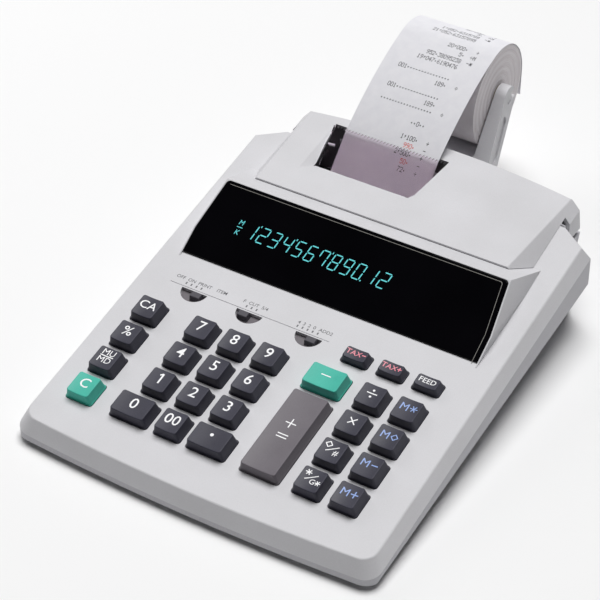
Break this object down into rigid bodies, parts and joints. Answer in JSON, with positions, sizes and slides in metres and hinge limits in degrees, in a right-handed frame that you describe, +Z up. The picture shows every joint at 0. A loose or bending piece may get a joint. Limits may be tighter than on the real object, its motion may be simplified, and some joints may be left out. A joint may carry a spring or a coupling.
{
  "type": "desktop printing calculator",
  "caption": "Desktop printing calculator with a sloped key deck, fluorescent display, hinged printer cover and a paper roll on rear arms.",
  "frame": {"origin": "on the table, under the middle of the machine's overall length and width, paper roll included", "axes": "+X to the operator's right, +Y away from the operator, towards the paper roll, +Z up"},
  "size_m": [0.207, 0.3472, 0.0927],
  "materials": {
    "casing_grey": "fine moulded texture",
    "base_grey": "fine moulded texture",
    "display_black": "polished",
    "smoked_window": "polished, smoked",
    "key_slate": "satin",
    "key_green": "satin",
    "key_grey": "satin",
    "tube_glass": "polished",
    "mat_rubber": "matte",
    "board_green": "solder mask",
    "core_steel": "varnished laminations",
    "sheet_steel": "zinc plated",
    "platen_rubber": "ground",
    "gear_nylon": "moulded",
    "motor_steel": "plated",
    "black_plastic": "moulded",
    "rod_steel": "ground",
    "core_board": "plain",
    "paper_white": "plain",
    "foot_rubber": "matte",
    "screw_steel": "zinc plated"
  },
  "bodies": {
    "root": {"upper_casing": "casing_grey", "lower_casing": "base_grey", "display_housing": "casing_grey", "display_lens": "display_black", "display_tube": "tube_glass", "key_board": "board_green", "key_dome_mat": "mat_rubber", "main_board": "board_green", "transformer": "core_steel", "printer_frame": "sheet_steel", "drive_motor": "motor_steel", "ribbon_cassette": "black_plastic", "carriage_rod": "rod_steel", "paper_tape": "paper_white", "rubber_feet": "foot_rubber", "case_screws": "screw_steel"},
    "cover": {"printer_cover": "casing_grey", "tear_off_window": "smoked_window"},
    "roll_holder": {"roll_arm_left": "casing_grey", "roll_arm_right": "casing_grey", "holder_shaft": "rod_steel"},
    "roll": {"roll_spindle": "casing_grey", "roll_core": "core_board", "paper_roll": "paper_white"},
    "platen": {"platen_roller": "platen_rubber", "platen_gear": "gear_nylon"},
    "pinion": {"motor_pinion": "gear_nylon"},
    "carriage": {"print_carriage": "black_plastic"},
    "key_1": {"key_1": "key_slate"},
    "key_2": {"key_2": "key_slate"},
    "key_3": {"key_3": "key_slate"},
    "key_4": {"key_4": "key_slate"},
    "key_5": {"key_5": "key_slate"},
    "key_6": {"key_6": "key_slate"},
    "key_7": {"key_7": "key_slate"},
    "key_8": {"key_8": "key_slate"},
    "key_9": {"key_9": "key_slate"},
    "key_clear": {"key_clear": "key_green"},
    "key_mu_md": {"key_mu_md": "key_slate"},
    "key_percent": {"key_percent": "key_slate"},
    "key_ca": {"key_ca": "key_slate"},
    "key_total": {"key_total": "key_slate"},
    "key_subtotal": {"key_subtotal": "key_slate"},
    "key_multiply": {"key_multiply": "key_slate"},
    "key_divide": {"key_divide": "key_slate"},
    "key_memory_plus": {"key_memory_plus": "key_slate"},
    "key_memory_minus": {"key_memory_minus": "key_slate"},
    "key_memory_subtotal": {"key_memory_subtotal": "key_slate"},
    "key_memory_total": {"key_memory_total": "key_slate"},
    "key_0": {"key_0": "key_slate"},
    "key_00": {"key_00": "key_slate"},
    "key_point": {"key_point": "key_slate"},
    "key_plus_equals": {"key_plus_equals": "key_grey"},
    "key_minus": {"key_minus": "key_green"},
    "key_tax_minus": {"key_tax_minus": "key_slate"},
    "key_tax_plus": {"key_tax_plus": "key_slate"},
    "key_feed": {"key_feed": "key_slate"},
    "power_switch": {"power_switch_knob": "key_slate"},
    "rounding_switch": {"rounding_switch_knob": "key_slate"},
    "decimal_switch": {"decimal_switch_knob": "key_slate"}
  },
  "joints": [
    {"name": "cover_hinge", "type": "hinge", "parent": "root", "child": "cover", "pos_m": [0, 0.08705, 0.04], "axis": [-1, 0, 0], "range_deg": [0, 35], "deforming": ["paper_tape"]},
    {"name": "roll_holder_hinge", "type": "hinge", "parent": "root", "child": "roll_holder", "pos_m": [0, 0.09945, 0.018], "axis": [-1, 0, 0], "range_deg": [0, 20], "deforming": ["paper_tape"]},
    {"name": "roll_spin", "type": "hinge", "parent": "roll_holder", "child": "roll", "pos_m": [-0.0245, 0.14345, 0.0625], "axis": [1, 0, 0], "continuous": true, "deforming": ["paper_tape"]},
    {"name": "platen_spin", "type": "hinge", "parent": "root", "child": "platen", "pos_m": [-0.0245, 0.05845, 0.034], "axis": [1, 0, 0], "continuous": true, "deforming": ["paper_tape"]},
    {"name": "pinion_spin", "type": "hinge", "parent": "root", "child": "pinion", "pos_m": [0.023, 0.04309, 0.02513], "axis": [1, 0, 0], "continuous": true},
    {"name": "carriage_slide", "type": "slide", "parent": "root", "child": "carriage", "axis": [1, 0, 0], "range_m": [0, 0.05]},
    {"name": "key_1_press", "type": "slide", "parent": "root", "child": "key_1", "axis": [0, 0.165, -0.9863], "range_m": [0, 0.003], "stiffness_N_per_m": 120, "springref_m": -0.001},
    {"name": "key_2_press", "type": "slide", "parent": "root", "child": "key_2", "axis": [0, 0.165, -0.9863], "range_m": [0, 0.003], "stiffness_N_per_m": 120, "springref_m": -0.001},
    {"name": "key_3_press", "type": "slide", "parent": "root", "child": "key_3", "axis": [0, 0.165, -0.9863], "range_m": [0, 0.003], "stiffness_N_per_m": 120, "springref_m": -0.001},
    {"name": "key_4_press", "type": "slide", "parent": "root", "child": "key_4", "axis": [0, 0.165, -0.9863], "range_m": [0, 0.003], "stiffness_N_per_m": 120, "springref_m": -0.001},
    {"name": "key_5_press", "type": "slide", "parent": "root", "child": "key_5", "axis": [0, 0.165, -0.9863], "range_m": [0, 0.003], "stiffness_N_per_m": 120, "springref_m": -0.001},
    {"name": "key_6_press", "type": "slide", "parent": "root", "child": "key_6", "axis": [0, 0.165, -0.9863], "range_m": [0, 0.003], "stiffness_N_per_m": 120, "springref_m": -0.001},
    {"name": "key_7_press", "type": "slide", "parent": "root", "child": "key_7", "axis": [0, 0.165, -0.9863], "range_m": [0, 0.003], "stiffness_N_per_m": 120, "springref_m": -0.001},
    {"name": "key_8_press", "type": "slide", "parent": "root", "child": "key_8", "axis": [0, 0.165, -0.9863], "range_m": [0, 0.003], "stiffness_N_per_m": 120, "springref_m": -0.001},
    {"name": "key_9_press", "type": "slide", "parent": "root", "child": "key_9", "axis": [0, 0.165, -0.9863], "range_m": [0, 0.003], "stiffness_N_per_m": 120, "springref_m": -0.001},
    {"name": "key_clear_press", "type": "slide", "parent": "root", "child": "key_clear", "axis": [0, 0.165, -0.9863], "range_m": [0, 0.003], "stiffness_N_per_m": 120, "springref_m": -0.001},
    {"name": "key_mu_md_press", "type": "slide", "parent": "root", "child": "key_mu_md", "axis": [0, 0.165, -0.9863], "range_m": [0, 0.003], "stiffness_N_per_m": 120, "springref_m": -0.001},
    {"name": "key_percent_press", "type": "slide", "parent": "root", "child": "key_percent", "axis": [0, 0.165, -0.9863], "range_m": [0, 0.003], "stiffness_N_per_m": 120, "springref_m": -0.001},
    {"name": "key_ca_press", "type": "slide", "parent": "root", "child": "key_ca", "axis": [0, 0.165, -0.9863], "range_m": [0, 0.003], "stiffness_N_per_m": 120, "springref_m": -0.001},
    {"name": "key_total_press", "type": "slide", "parent": "root", "child": "key_total", "axis": [0, 0.165, -0.9863], "range_m": [0, 0.003], "stiffness_N_per_m": 120, "springref_m": -0.001},
    {"name": "key_subtotal_press", "type": "slide", "parent": "root", "child": "key_subtotal", "axis": [0, 0.165, -0.9863], "range_m": [0, 0.003], "stiffness_N_per_m": 120, "springref_m": -0.001},
    {"name": "key_multiply_press", "type": "slide", "parent": "root", "child": "key_multiply", "axis": [0, 0.165, -0.9863], "range_m": [0, 0.003], "stiffness_N_per_m": 120, "springref_m": -0.001},
    {"name": "key_divide_press", "type": "slide", "parent": "root", "child": "key_divide", "axis": [0, 0.165, -0.9863], "range_m": [0, 0.003], "stiffness_N_per_m": 120, "springref_m": -0.001},
    {"name": "key_memory_plus_press", "type": "slide", "parent": "root", "child": "key_memory_plus", "axis": [0, 0.165, -0.9863], "range_m": [0, 0.003], "stiffness_N_per_m": 120, "springref_m": -0.001},
    {"name": "key_memory_minus_press", "type": "slide", "parent": "root", "child": "key_memory_minus", "axis": [0, 0.165, -0.9863], "range_m": [0, 0.003], "stiffness_N_per_m": 120, "springref_m": -0.001},
    {"name": "key_memory_subtotal_press", "type": "slide", "parent": "root", "child": "key_memory_subtotal", "axis": [0, 0.165, -0.9863], "range_m": [0, 0.003], "stiffness_N_per_m": 120, "springref_m": -0.001},
    {"name": "key_memory_total_press", "type": "slide", "parent": "root", "child": "key_memory_total", "axis": [0, 0.165, -0.9863], "range_m": [0, 0.003], "stiffness_N_per_m": 120, "springref_m": -0.001},
    {"name": "key_0_press", "type": "slide", "parent": "root", "child": "key_0", "axis": [0, 0.165, -0.9863], "range_m": [0, 0.003], "stiffness_N_per_m": 120, "springref_m": -0.001},
    {"name": "key_00_press", "type": "slide", "parent": "root", "child": "key_00", "axis": [0, 0.165, -0.9863], "range_m": [0, 0.003], "stiffness_N_per_m": 120, "springref_m": -0.001},
    {"name": "key_point_press", "type": "slide", "parent": "root", "child": "key_point", "axis": [0, 0.165, -0.9863], "range_m": [0, 0.003], "stiffness_N_per_m": 120, "springref_m": -0.001},
    {"name": "key_plus_equals_press", "type": "slide", "parent": "root", "child": "key_plus_equals", "axis": [0, 0.165, -0.9863], "range_m": [0, 0.003], "stiffness_N_per_m": 120, "springref_m": -0.001},
    {"name": "key_minus_press", "type": "slide", "parent": "root", "child": "key_minus", "axis": [0, 0.165, -0.9863], "range_m": [0, 0.003], "stiffness_N_per_m": 120, "springref_m": -0.001},
    {"name": "key_tax_minus_press", "type": "slide", "parent": "root", "child": "key_tax_minus", "axis": [0, 0.165, -0.9863], "range_m": [0, 0.003], "stiffness_N_per_m": 120, "springref_m": -0.001},
    {"name": "key_tax_plus_press", "type": "slide", "parent": "root", "child": "key_tax_plus", "axis": [0, 0.165, -0.9863], "range_m": [0, 0.003], "stiffness_N_per_m": 120, "springref_m": -0.001},
    {"name": "key_feed_press", "type": "slide", "parent": "root", "child": "key_feed", "axis": [0, 0.165, -0.9863], "range_m": [0, 0.003], "stiffness_N_per_m": 120, "springref_m": -0.001},
    {"name": "power_switch_slide", "type": "slide", "parent": "root", "child": "power_switch", "axis": [-1, 0, 0], "range_m": [0, 0.0048]},
    {"name": "rounding_switch_slide", "type": "slide", "parent": "root", "child": "rounding_switch", "axis": [1, 0, 0], "range_m": [0, 0.0048]},
    {"name": "decimal_switch_slide", "type": "slide", "parent": "root", "child": "decimal_switch", "axis": [-1, 0, 0], "range_m": [0, 0.0048]}
  ],
  "couplings": [
    {"joint": "pinion_spin", "follows": "platen_spin", "ratio": -2.1429}
  ]
}
